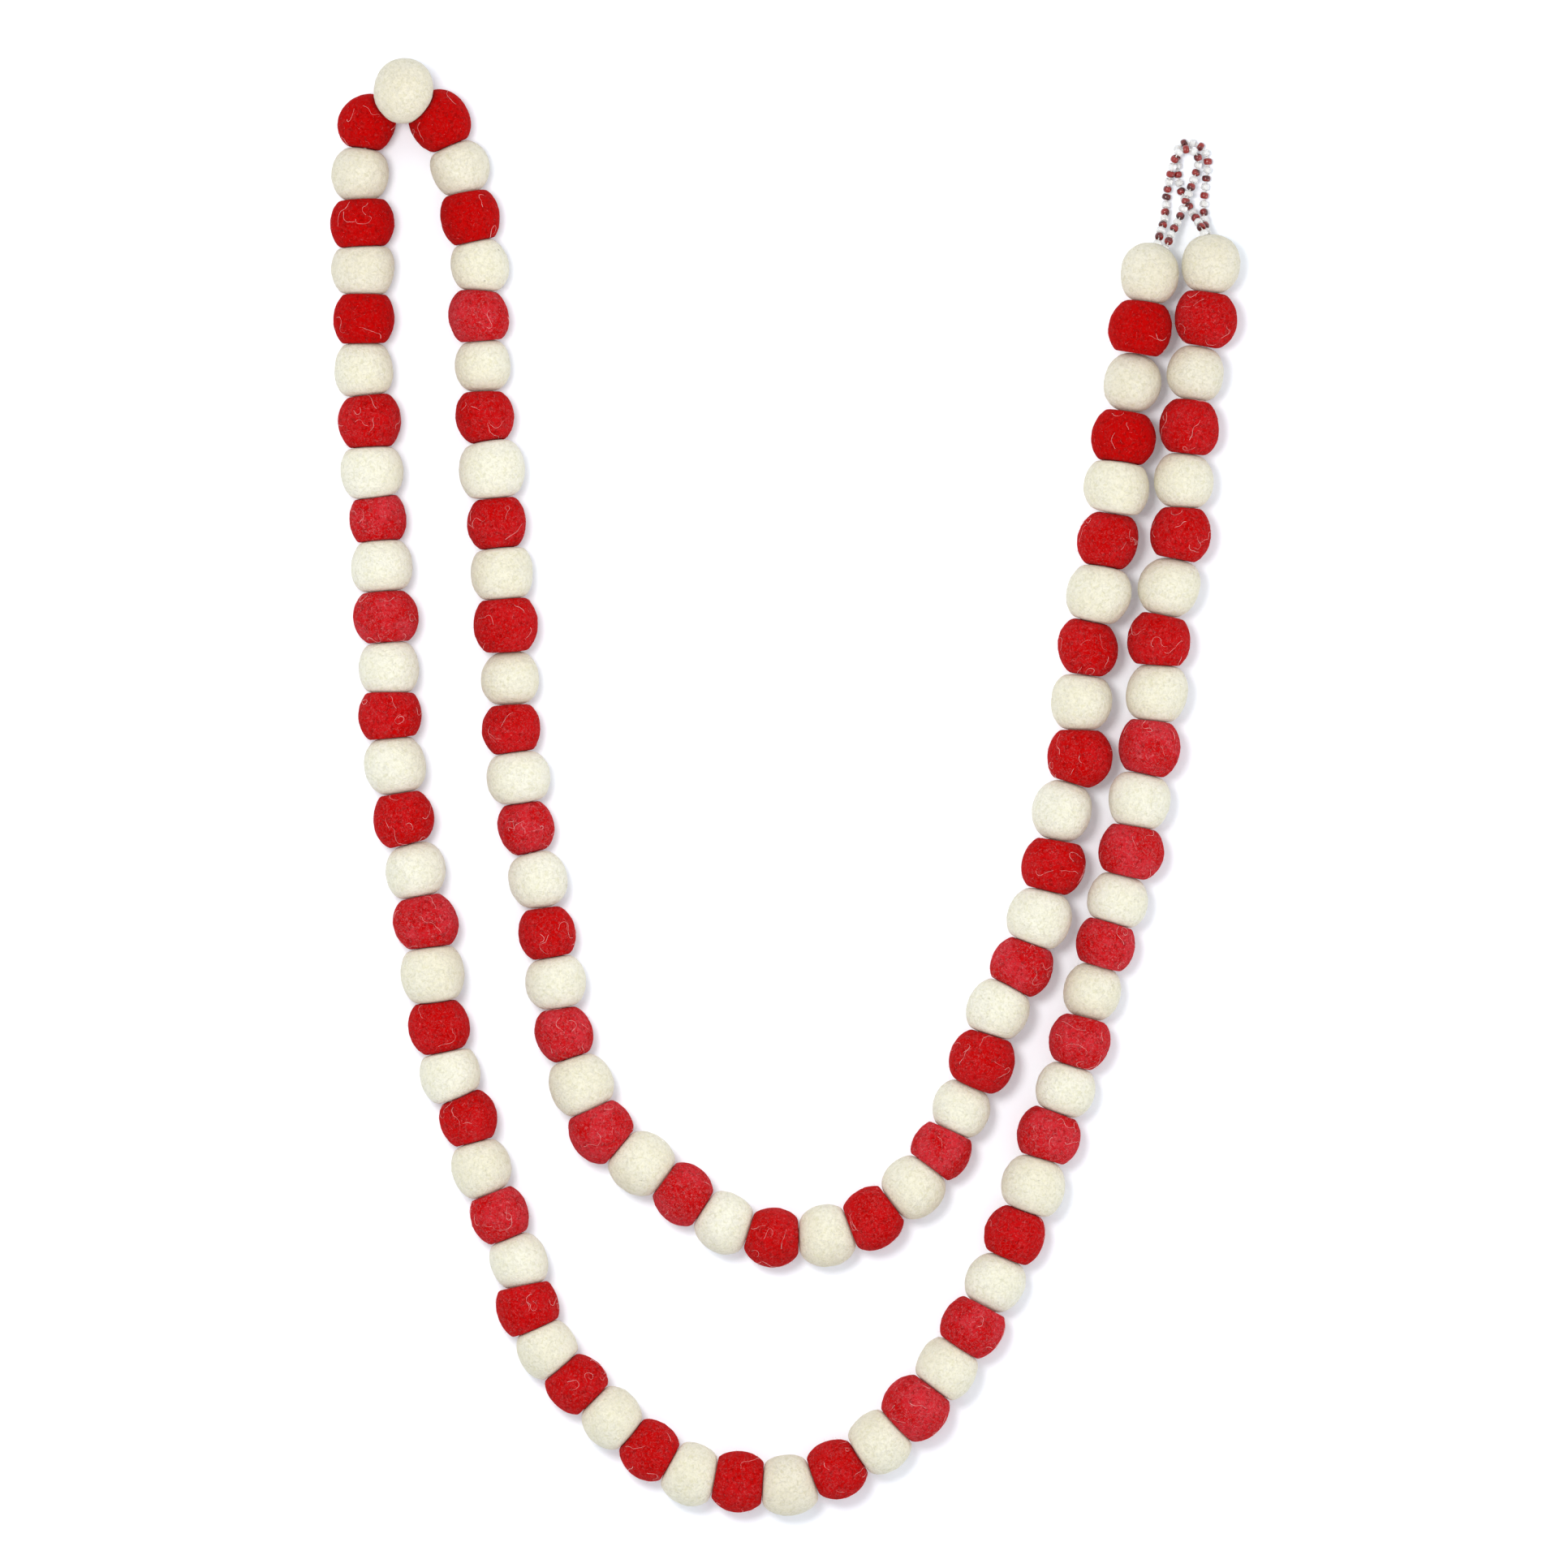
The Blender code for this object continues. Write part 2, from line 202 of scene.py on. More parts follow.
# The hanging loops leave the end balls at the string's height and come down to the surface
LoopPoint = namedtuple("LoopPoint", "x y z")
INNER_LOOP = (
    LoopPoint(137.6, 201.4, 10.6),
    LoopPoint(138.5, 204.6, 8.6),
    LoopPoint(139.8, 208.6, 5.4),
    LoopPoint(140.6, 213.2, 2.6),
    LoopPoint(141.0, 218.2, 1.8),
    LoopPoint(141.6, 222.4, 2.4),
    LoopPoint(142.7, 227.4, 4.1),
    LoopPoint(143.9, 231.8, 5.1),
    LoopPoint(145.8, 234.9, 5.2),
    LoopPoint(148.8, 235.8, 4.9),
    LoopPoint(151.5, 234.7, 4.7),
    LoopPoint(152.8, 232.0, 3.8),
    LoopPoint(152.3, 228.6, 3.0),
    LoopPoint(151.2, 225.0, 3.2),
    LoopPoint(149.9, 221.4, 4.4),
    LoopPoint(148.3, 217.2, 5.1),
    LoopPoint(146.7, 212.6, 5.2),
    LoopPoint(145.2, 209.2, 6.2),
    LoopPoint(143.5, 206.0, 8.2),
    LoopPoint(142.1, 203.2, 9.8),
    LoopPoint(141.4, 201.0, 10.8),
)
OUTER_LOOP = (
    LoopPoint(155.7, 204.4, 8.6),
    LoopPoint(155.2, 207.6, 6.0),
    LoopPoint(154.9, 211.2, 3.2),
    LoopPoint(154.9, 215.6, 1.9),
    LoopPoint(155.3, 221.4, 1.6),
    LoopPoint(156.0, 227.0, 1.6),
    LoopPoint(156.4, 231.0, 1.6),
    LoopPoint(155.7, 234.5, 1.6),
    LoopPoint(153.5, 237.0, 1.6),
    LoopPoint(150.6, 238.2, 1.6),
    LoopPoint(147.7, 238.2, 1.6),
    LoopPoint(145.5, 236.5, 1.6),
    LoopPoint(144.8, 233.4, 1.6),
    LoopPoint(145.1, 229.8, 1.6),
    LoopPoint(145.4, 225.4, 1.6),
    LoopPoint(146.4, 220.8, 1.6),
    LoopPoint(148.1, 217.0, 1.6),
    LoopPoint(150.1, 213.4, 2.2),
    LoopPoint(152.0, 209.8, 6.2),
    LoopPoint(153.6, 206.8, 10.2),
    LoopPoint(154.6, 204.4, 12.3),
)

# A loop's beads as they are threaded, clear or red, and how far the first and last are sunk in felt
LoopBeads = namedtuple("LoopBeads", "order first last")
INNER_BEADS = LoopBeads("crcrcrcrrcrcrcrcrcrcrcrcrcrcrc", 0.6, 2.2)
OUTER_BEADS = LoopBeads("rcrcrcrcrcrcrcrcrcrcrcrcrcrc", 2.4, -0.1)

# --- Sizes of the finished surfaces, in millimetres ---

CONTACT_GAP = 0.08        # left between two balls where they press on each other
PRESS_ROUNDING = 0.45     # how softly a pressed face turns into the ball's side
FLOOR_ROUNDING = 0.12     # the same where a ball rests on the surface
CREAM_BULGE = 0.75        # how far a cream ball's end stands into a red one
BULGE_REACH = 8.2         # how far the bulge spreads from the middle of a contact
FIBRE_CLEARANCE = 0.9     # kept between a short fibre's root and a pressed face
STRAY_CLEARANCE = 0.35    # kept between a stray fibre and a pressed face
FUZZ_RADIUS = 0.035
STRAY_RADIUS = 0.07
LOOP_TAIL = 4.0           # how far a loop's thread runs on into the felt
LOOP_KNOTS = 80           # points along a loop's thread
CAMERA_AIM = (-0.54, 1.65)

STRAY_STEP = 0.045        # how far a stray fibre goes at each step, in radians round its ball
CREAM_STRAY_COUNT = 2

# Where each kind of random draw starts; a ball's number is added to it
FELT_SEED = 1000
FUZZ_SEED = 3000
STRAY_SEED = 5000

# How a ball is shaped before it is pressed: squareness is the power of its superellipse, and
# length is along the string, as a share of its width
FeltShape = namedtuple("FeltShape", "length squareness")
CREAM_SHAPE = FeltShape(1.04, 2.12)
RED_SHAPE = FeltShape(1.05, 2.06)

# A felt's colours: the main one, the paler patches, the fibres that show, and how far patches go
FeltTone = namedtuple("FeltTone", "name main pale fibre patches")
RED_FELTS = {
    "s": FeltTone("scarlet", (0.41, 0.0, 0.0), (0.43, 0.0, 0.0), (0.58, 0.05, 0.045), 0.5),
    "c": FeltTone("crimson", (0.42, 0.0, 0.0), (0.46, 0.005, 0.007), (0.66, 0.12, 0.12), 0.7),
    "r": FeltTone("raspberry", (0.44, 0.001, 0.002), (0.50, 0.018, 0.026), (0.72, 0.20, 0.21), 0.9),
}
CREAM_FELTS = {
    "g": FeltTone("greyish", (0.665, 0.62, 0.49), (0.695, 0.66, 0.55), (0.77, 0.74, 0.67), 0.6),
    "i": FeltTone("ivory", (0.695, 0.66, 0.52), (0.72, 0.695, 0.58), (0.79, 0.77, 0.70), 0.6),
    "w": FeltTone("pale", (0.715, 0.69, 0.56), (0.74, 0.72, 0.62), (0.80, 0.79, 0.73), 0.6),
}

# What a felt has over its tones: its sheen, how dark its grain is, and how strong its dark specks are
FeltFinish = namedtuple("FeltFinish", "sheen sheen_tint grain specks")
CREAM_FINISH = FeltFinish(0.10, (1.0, 0.99, 0.95), (0.85, 0.85, 0.75), 0.5)
RED_FINISH = FeltFinish(0.025, (1.0, 0.40, 0.40), (0.55, 0.5, 0.5), 0.0)

# Loose fibres run unevenly from a dull colour to a bright one
FibreColours = namedtuple("FibreColours", "dull bright")
FUZZ_COLOURS = {
    "cream": FibreColours((0.86, 0.83, 0.74), (0.92, 0.90, 0.85)),
    "red": FibreColours((0.58, 0.03, 0.04), (0.75, 0.22, 0.24)),
}
STRAY_COLOURS = {
    "cream": FibreColours((0.70, 0.66, 0.58), (0.90, 0.87, 0.80)),
    "red": FibreColours((0.72, 0.14, 0.13), (0.92, 0.58, 0.55)),
}

# Bead glass: the deeper shade that it varies towards, and how much light goes through
BeadGlass = namedtuple("BeadGlass", "deep transmission")
RED_GLASS = BeadGlass((0.07, 0.002, 0.002), 0.10)
CLEAR_GLASS = BeadGlass((0.88, 0.87, 0.85), 0.52)

# The lamps, with place and size in metres
Lamp = namedtuple("Lamp", "name place size colour shadow")
KEY_LAMP = Lamp("key_light", (-0.30, 0.22, 1.43), 0.40, (1.0, 0.985, 0.96), True)
SIDE_LAMP = Lamp("side_light", (1.30, -0.35, 0.75), 0.60, (1.0, 0.97, 0.95), False)

Ball = namedtuple("Ball", "number across stretch centre start end")


# --- Settings a user would change ---

class FeltSettings(bpy.types.PropertyGroup):
    """The felt balls."""
    fineness: IntProperty(name="Fineness", description="Subdivisions of each ball",
                          default=5, min=3, max=6)
    lumps: FloatProperty(name="Lumps", description="How far a ball is from round, in mm",
                         default=0.32, min=0.0, max=1.0)
    dimples: FloatProperty(name="Dimples", description="Height of the felted surface's relief, in mm",
                           default=0.035, min=0.0, max=0.2)
    fuzz_count: IntProperty(name="Fuzz", description="Short fibres that stand off each ball",
                            default=110, min=0, max=400)
    fuzz_length: FloatProperty(name="Fuzz length", description="Length of a short fibre",
                               default=0.0011, min=0.0002, max=0.004, unit="LENGTH")
    stray_count: IntProperty(name="Stray fibres",
                             description="Long fibres tried on each red ball, half as many on scarlet",
                             default=8, min=0, max=30)


class LoopSettings(bpy.types.PropertyGroup):
    """The beaded hanging loops."""
    bead_across: FloatProperty(name="Bead width", description="Outside diameter of a seed bead",
                               default=0.0033, min=0.001, max=0.006, unit="LENGTH")
    bead_hole: FloatProperty(name="Bead hole", description="Diameter of a seed bead's hole",
                             default=0.0009, min=0.0003, max=0.002, unit="LENGTH")
    bead_length: FloatProperty(name="Bead length", description="Length of a seed bead on the thread",
                               default=0.0023, min=0.001, max=0.006, unit="LENGTH")
    thread_across: FloatProperty(name="Thread width", description="Diameter of the stringing thread",
                                 default=0.0005, min=0.0003, max=0.001, unit="LENGTH")
    red_glass: FloatVectorProperty(name="Red glass", description="Colour of the red beads",
                                   subtype="COLOR", default=(0.27, 0.010, 0.006), min=0.0, max=1.0)
    clear_glass: FloatVectorProperty(name="Clear glass", description="Colour of the clear beads",
                                     subtype="COLOR", default=(0.93, 0.93, 0.92), min=0.0, max=1.0)


class StageSettings(bpy.types.PropertyGroup):
    """The floor, the lights and the camera."""
    view_width: FloatProperty(name="View width", description="Width of the surface that the camera sees",
                              default=0.5796, min=0.1, max=5.0, unit="LENGTH")
    lens: FloatProperty(name="Lens", description="Focal length in mm",
                        default=300.0, min=20.0, max=300.0)
    key_power: FloatProperty(name="Key light", description="Power of the large light at the upper left",
                             default=10.8, min=0.0, unit="POWER")
    side_power: FloatProperty(name="Side light", description="Power of the soft light from the right",
                              default=4.2, min=0.0, unit="POWER")
    fill: FloatProperty(name="Fill", description="Strength of the even light from all round",
                        default=0.93, min=0.0, max=5.0)
    floor: FloatVectorProperty(name="Floor", description="Colour of the floor", subtype="COLOR",
                               default=(0.91, 0.945, 1.0), min=0.0, max=1.0)


# --- The string and the balls on it ---

def laid_out(point):
    """A table's point in metres, measured from the middle of the garland."""
    return Vector((point.x - LAYOUT_CENTRE[0], point.y - LAYOUT_CENTRE[1], point.z)) * MM


def smooth_curve(points, stations):
    """A function that gives the point at any station on the smooth curve through the points."""
    steps = [after - before for before, after in zip(stations, stations[1:])]
    slopes = [(after - before) / step for before, after, step in zip(points, points[1:], steps)]
    tangents = [slopes[0]]
    for index in range(1, len(slopes)):
        before, after = steps[index - 1], steps[index]
        tangents.append((slopes[index - 1] * after + slopes[index] * before) / (before + after))
    tangents.append(slopes[-1])

    def point_at(station):
        index = 0
        while index < len(steps) - 1 and station > stations[index + 1]:
            index += 1
        step = steps[index]
        share = (station - stations[index]) / step
        rest = 1.0 - share
        start = points[index] * (1.0 + 2.0 * share) + tangents[index] * (step * share)
        end = points[index + 1] * (1.0 + 2.0 * rest) - tangents[index + 1] * (step * rest)
        return start * rest * rest + end * share * share

    return point_at


def string_route():
    """The string's smooth curve, and the length of it that each ball reaches."""
    reached = [0.0]
    for grade in LENGTH_GRADES:
        reached.append(reached[-1] + (SHORTEST_BALL + LENGTH_STEP * int(grade)) * MM)
    route = smooth_curve([laid_out(point) for point in STRING_ROUTE],
                         [reached[point.balls] for point in STRING_ROUTE])
    return route, reached


def string_points():
    """The string's points between one ball and the next, from one end to the other."""
    route, reached = string_route()
    return [route(station) for station in reached]


def strung_balls():
    """Every ball: its width, its stretch, its middle, and where the string goes in and out."""
    route, reached = string_route()
    lifted = {row.number: row for row in LIFTED_BALLS}
    balls = []
    for number, (before, after) in enumerate(zip(reached, reached[1:]), start=1):
        start, end = route(before), route(after)
        across = (SMALLEST_BALL + GRADE_STEP * (int(SIZE_GRADES[number - 1]) - 1)) * MM
        aside = SIDE_STEP * (int(SIDE_GRADES[number - 1]) - 5) * MM
        along = (end - start).normalized()
        centre = route((before + after) / 2.0) + Vector((-along.y, along.x, 0.0)) * aside
        centre.z = across / 2.0 - SQUASH * MM
        stretch = 1.0
        if number in lifted:
            centre = laid_out(lifted[number])
            stretch = lifted[number].stretch
        balls.append(Ball(number, across, stretch, centre, start, end))
    return balls


def is_cream(ball):
    return ball.number % 2 == 1


def neighbours_of(ball, balls):
    """The balls strung just before and just after one, where it has them."""
    return [other for other in balls if abs(other.number - ball.number) == 1]


def check_against_solids(balls):
    """Stop if the balls worked out here aren't where the solids' cream balls are."""
    for count, ball in enumerate(balls[::2], start=1):
        low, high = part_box(f"cream_ball_{count:02d}")
        middle = (Vector(low) + Vector(high)) / 2.0
        if (middle.xy - ball.centre.xy).length > 2.0 * MM:
            raise RuntimeError(f"cream ball {count} isn't where its solid is")


# --- Pieces, materials and nodes ---

def finished_piece(name, mesh, material, nodes=()):
    """An object at the origin for a mesh whose place is in its points, riding on the garland."""
    mesh.materials.clear()
    mesh.materials.append(material)
    mesh.shade_smooth()
    piece = bpy.data.objects.new(name, mesh)
    bpy.context.scene.collection.objects.link(piece)
    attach(piece, "root")
    if nodes:
        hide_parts(*nodes)
    return piece


def new_node(tree, kind, sockets=(), **attributes):
    """A shader node with its attributes and its input sockets' values or links set."""
    node = tree.nodes.new(kind)
    for name, value in attributes.items():
        setattr(node, name, value)
    for socket, value in dict(sockets).items():
        if isinstance(value, bpy.types.NodeSocket):
            tree.links.new(value, node.inputs[socket])
        else:
            node.inputs[socket].default_value = value
    return node


def new_material(name):
    """A material with only a Principled shader: the material, its tree and the shader."""
    material = bpy.data.materials.new(name)
    material.use_nodes = True
    tree = material.node_tree
    return material, tree, tree.nodes["Principled BSDF"]


def mixed(tree, share, below, above):
    """Two colours mixed by a share."""
    node = new_node(tree, "ShaderNodeMix", data_type="RGBA")
    for socket, value in ((0, share), (6, below), (7, above)):
        if isinstance(value, bpy.types.NodeSocket):
            tree.links.new(value, node.inputs[socket])
        elif socket == 0:
            node.inputs[socket].default_value = value
        else:
            node.inputs[socket].default_value = (*value, 1.0)
    return node.outputs[2]


def computed(tree, operation, first, second=0.0):
    return new_node(tree, "ShaderNodeMath", {0: first, 1: second}, operation=operation).outputs[0]


def between(tree, value, low, high, start=0.0, end=1.0):
    """A value brought from one range to another and held inside it."""
    sockets = {"Value": value, "From Min": low, "From Max": high, "To Min": start, "To Max": end}
    return new_node(tree, "ShaderNodeMapRange", sockets).outputs["Result"]


def noise(tree, coordinates, scale, detail=2.0, roughness=0.5, distortion=0.0):
    sockets = {"Vector": coordinates, "Scale": scale, "Detail": detail,
               "Roughness": roughness, "Distortion": distortion}
    return new_node(tree, "ShaderNodeTexNoise", sockets).outputs["Fac"]


def shifted(tree, coordinates, offset, turn=0.0):
    sockets = {"Vector": coordinates, "Location": (offset, offset * 0.7, -offset),
               "Rotation": (turn, turn * 0.6, turn * 1.7)}
    return new_node(tree, "ShaderNodeMapping", sockets).outputs["Vector"]


def fibre_lines(tree, coordinates, scale, width):
    """Thin curling lines, like loose fibres: where a swirling noise passes through its middle."""
    swirl = noise(tree, coordinates, scale, 1.0, 0.4, 2.4)
    distance = computed(tree, "ABSOLUTE", computed(tree, "SUBTRACT", swirl, 0.5))
    line = between(tree, distance, 0.0, width, 1.0, 0.0)
    broken = between(tree, noise(tree, coordinates, scale * 1.7, 0.0), 0.44, 0.56)
    return computed(tree, "MULTIPLY", line, broken)


def felt_material(name, tone, finish):
    """Wool felt: patches and grain in its colour, curling fibres, specks, and a fine relief."""
    material, tree, shader = new_material(name)
    place = new_node(tree, "ShaderNodeTexCoord").outputs["Object"]
    patches = between(tree, noise(tree, place, 90.0, 2.0, 0.55), 0.42, 0.60)
    colour = mixed(tree, computed(tree, "MULTIPLY", patches, tone.patches), tone.main, tone.pale)
    clumps = noise(tree, shifted(tree, place, 0.31, 0.4), 760.0, 3.0, 0.6, 0.8)
    darker = tuple(channel * share for channel, share in zip(tone.main, finish.grain))
    colour = mixed(tree, between(tree, clumps, 0.36, 0.5, 0.75, 0.0), colour, darker)
    wisps = noise(tree, shifted(tree, place, 0.83, 1.1), 1150.0, 2.0, 0.7, 1.2)
    wisps = between(tree, wisps, 0.53, 0.68)
    colour = mixed(tree, computed(tree, "MULTIPLY", wisps, tone.patches * 0.36), colour, tone.fibre)
    coarse = fibre_lines(tree, shifted(tree, place, 0.17, 0.9), 210.0, 0.011)
    fine = fibre_lines(tree, shifted(tree, place, 0.53, 2.1), 520.0, 0.034)
    fibres = computed(tree, "MAXIMUM", coarse, computed(tree, "MULTIPLY", fine, 0.8))
    colour = mixed(tree, computed(tree, "MULTIPLY", fibres, 0.55), colour, tone.fibre)
    cells = new_node(tree, "ShaderNodeTexVoronoi", {"Vector": place, "Scale": 95.0}).outputs["Distance"]
    speck = between(tree, cells, 0.035, 0.05, 1.0, 0.0)
    kept = between(tree, noise(tree, place, 41.0, 0.0), 0.60, 0.62)
    speck = computed(tree, "MULTIPLY", computed(tree, "MULTIPLY", speck, kept), finish.specks)
    colour = mixed(tree, speck, colour, tuple(channel * 0.3 for channel in tone.main))
    tree.links.new(colour, shader.inputs["Base Color"])
    relief = computed(tree, "ADD", computed(tree, "MULTIPLY", clumps, 0.8),
                      computed(tree, "MULTIPLY", fibres, 0.35))
    relief = computed(tree, "ADD", relief, computed(tree, "MULTIPLY", wisps, 0.3))
    bump = new_node(tree, "ShaderNodeBump", {"Strength": 0.75, "Distance": 0.0004, "Height": relief})
    tree.links.new(bump.outputs["Normal"], shader.inputs["Normal"])
    shader.inputs["Roughness"].default_value = 0.95
    shader.inputs["Specular IOR Level"].default_value = 0.04
    shader.inputs["Sheen Weight"].default_value = finish.sheen
    shader.inputs["Sheen Roughness"].default_value = 0.45
    shader.inputs["Sheen Tint"].default_value = (*finish.sheen_tint, 1.0)
    return material


def fibre_material(name, colours):
    """Loose wool fibres, uneven in colour."""
    material, tree, shader = new_material(name)
    place = new_node(tree, "ShaderNodeTexCoord").outputs["Object"]
    uneven = between(tree, noise(tree, place, 400.0, 1.0), 0.35, 0.65)
    tree.links.new(mixed(tree, uneven, colours.dull, colours.bright), shader.inputs["Base Color"])
    shader.inputs["Roughness"].default_value = 0.7
    shader.inputs["Sheen Weight"].default_value = 0.3
    return material


def bead_material(name, colour, glass):
    """Seed bead glass: clear or coloured through, each bead a little lighter or darker."""
    material, tree, shader = new_material(name)
    place = new_node(tree, "ShaderNodeTexCoord").outputs["Object"]
    uneven = between(tree, noise(tree, place, 260.0, 0.0), 0.36, 0.60)
    tree.links.new(mixed(tree, uneven, glass.deep, colour), shader.inputs["Base Color"])
    shader.inputs["Roughness"].default_value = 0.06
    shader.inputs["IOR"].default_value = 1.52
    shader.inputs["Transmission Weight"].default_value = glass.transmission
    shader.inputs["Coat Weight"].default_value = 0.35
    shader.inputs["Coat Roughness"].default_value = 0.04
    return material


def thread_material():
    """Fine twisted thread."""
    material, tree, shader = new_material("loop_thread")
    place = new_node(tree, "ShaderNodeTexCoord").outputs["Object"]
    sockets = {"Vector": place, "Scale": 900.0, "Distortion": 1.0}
    twist = new_node(tree, "ShaderNodeTexWave", sockets, bands_direction="DIAGONAL").outputs["Fac"]
    colour = mixed(tree, twist, (0.72, 0.66, 0.60), (0.90, 0.87, 0.82))
    tree.links.new(colour, shader.inputs["Base Color"])
    bump = new_node(tree, "ShaderNodeBump", {"Strength": 0.4, "Distance": 0.0001, "Height": twist})
    tree.links.new(bump.outputs["Normal"], shader.inputs["Normal"])
    shader.inputs["Roughness"].default_value = 0.6
    return material


# --- Felt balls ---

def smooth_waves(random, count, pace):
    """Random smooth waves over a ball: their directions and phases."""
    directions = random.normal(size=(count, 3))
    directions /= np.linalg.norm(directions, axis=1, keepdims=True)
    directions *= pace * random.uniform(0.6, 1.4, size=(count, 1))
    return directions, random.uniform(0.0, 2.0 * math.pi, count)


def wave_height(directions, waves):
    steepness, phases = waves
    return np.sin(directions @ steepness.T + phases).sum(axis=1) / math.sqrt(len(phases) / 2.0)


def pressed(points, place, outward, rounding, bulge=0.0):
    """Points held behind a soft wall through a place; a bulge makes the wall stand out or give way."""
    offsets = points - place
    depth = offsets @ outward
    aside = np.sqrt(np.maximum((offsets ** 2).sum(axis=1) - depth ** 2, 0.0))
    wall = bulge * np.clip(1.0 - (aside / (BULGE_REACH * MM)) ** 2, 0.0, 1.0)
    beyond = depth - wall
    held = -rounding * np.logaddexp(0.0, -beyond / rounding)
    return points + np.outer(held - beyond, outward)


def contacts_of(ball, balls):
    """Where a ball meets its neighbours: the place and the direction out of the ball."""
    contacts = []
    for other in neighbours_of(ball, balls):
        outward = (other.centre - ball.centre).normalized()
        contact = ball.end if other.number > ball.number else ball.start
        reach = (contact - ball.centre).dot(outward) - CONTACT_GAP * MM
        contacts.append((np.array(ball.centre + outward * reach), np.array(outward)))
    return contacts


def felt_surface(ball, balls, directions, settings):
    """The points of a ball's finished surface in the given directions from its middle."""
    random = np.random.default_rng(FELT_SEED + ball.number)
    shape = CREAM_SHAPE if is_cream(ball) else RED_SHAPE
    axis = np.array((ball.end - ball.start).normalized())
    along = np.abs(directions @ axis)
    across = np.sqrt(np.maximum(1.0 - along ** 2, 0.0))
    radius = ball.across / 2.0
    power = shape.squareness
    half_length = radius * shape.length * ball.stretch
    reach = ((along / half_length) ** power + (across / radius) ** power) ** (-1.0 / power)
    reach += settings.lumps * MM * wave_height(directions, smooth_waves(random, 5, 2.6))
    reach += settings.dimples * MM * wave_height(directions, smooth_waves(random, 24, 21.0))
    reach += settings.dimples * 0.6 * MM * wave_height(directions, smooth_waves(random, 24, 42.0))
    points = np.array(ball.centre) + directions * reach[:, None]
    bulge = CREAM_BULGE * MM if is_cream(ball) else -CREAM_BULGE * MM
    for place, outward in contacts_of(ball, balls):
        points = pressed(points, place, outward, PRESS_ROUNDING * MM, bulge)
    return pressed(points, np.zeros(3), np.array((0.0, 0.0, -1.0)), FLOOR_ROUNDING * MM)


def felt_ball_mesh(name, ball, balls, settings):
    shape = bmesh.new()
    bmesh.ops.create_icosphere(shape, subdivisions=settings.fineness, radius=1.0)
    mesh = bpy.data.meshes.new(name)
    shape.to_mesh(mesh)
    shape.free()
    directions = np.empty(len(mesh.vertices) * 3)
    mesh.vertices.foreach_get("co", directions)
    directions = directions.reshape(-1, 3)
    directions /= np.linalg.norm(directions, axis=1, keepdims=True)
    points = felt_surface(ball, balls, directions, settings)
    mesh.vertices.foreach_set("co", points.ravel())
    mesh.update()
    return mesh


def red_run_of(ball):
    return next(run.name for run in RED_RUNS if run.first <= ball.number <= run.last)


# --- Loose fibres ---

def fibre_mesh(name, strands, radius):
    """Many thin three-sided strands, tapered to their tips, as one mesh with closed ends."""
    section = bpy.data.curves.new(name + "_section", "CURVE")
    section.dimensions = "2D"
    outline = section.splines.new("POLY")
    outline.points.add(2)
    outline.use_cyclic_u = True
    for index, knot in enumerate(outline.points):
        angle = 2.0 * math.pi * index / 3.0
        knot.co = (radius * math.cos(angle), radius * math.sin(angle), 0.0, 1.0)
    section_object = bpy.data.objects.new(name + "_section", section)
    curve = bpy.data.curves.new(name, "CURVE")
    curve.dimensions = "3D"
    curve.bevel_mode = "OBJECT"
    curve.bevel_object = section_object
    curve.use_fill_caps = True
    for strand in strands:
        spline = curve.splines.new("POLY")
        spline.points.add(len(strand) - 1)
        knots = np.ones((len(strand), 4))
        knots[:, :3] = strand
        spline.points.foreach_set("co", knots.ravel())
        spline.points.foreach_set("radius", np.linspace(1.0, 0.45, len(strand)))
    strung = bpy.data.objects.new(name, curve)
    for thing in (section_object, strung):
        bpy.context.scene.collection.objects.link(thing)
    bpy.context.view_layer.update()
    evaluated = strung.evaluated_get(bpy.context.evaluated_depsgraph_get())
    mesh = bpy.data.meshes.new_from_object(evaluated)
    for thing in (section_object, strung):
        bpy.data.objects.remove(thing, do_unlink=True)
    shape = bmesh.new()
    shape.from_mesh(mesh)
    bmesh.ops.remove_doubles(shape, verts=shape.verts, dist=1e-6)
    bmesh.ops.recalc_face_normals(shape, faces=shape.faces)
    shape.to_mesh(mesh)
    shape.free()
    mesh.name = name
    return mesh


def unit_rows(rows):
    return rows / np.linalg.norm(rows, axis=1, keepdims=True)


def fuzz_of(ball, balls, settings):
    """Short fibres standing off one ball, clear of what it presses on."""
    random = np.random.default_rng(FUZZ_SEED + ball.number)
    directions = unit_rows(random.normal(size=(settings.fuzz_count, 3)))
    roots = felt_surface(ball, balls, directions, settings)
    open_air = roots[:, 2] > 1.2 * MM
    for place, outward in contacts_of(ball, balls):
        open_air &= (roots - place) @ outward < -FIBRE_CLEARANCE * MM
    strands = []
    for root, direction in zip(roots[open_air], directions[open_air]):
        lean = random.normal(size=3)
        lean -= direction * (lean @ direction)
        lean /= np.linalg.norm(lean)
        length = settings.fuzz_length * random.uniform(0.4, 1.5)
        rise = random.uniform(0.25, 0.8)
        out = direction * rise + lean * (1.0 - rise)
        curl = lean * random.uniform(-0.6, 0.9) + direction * random.uniform(-0.5, 0.1)
        start = root - direction * 0.08 * MM
        middle = start + out * length * 0.5
        tip = start + (out + curl * 0.4) * length
        strands.append(np.array([start, middle, tip]))
    return strands


def stray_count_of(ball, settings):
    """How many stray fibres are tried on a ball: few on cream, half as many on scarlet as on other reds."""
    if is_cream(ball):
        return CREAM_STRAY_COUNT
    scarlet = RED_TONES[ball.number // 2 - 1] == "s"
    return settings.stray_count // 2 if scarlet else settings.stray_count


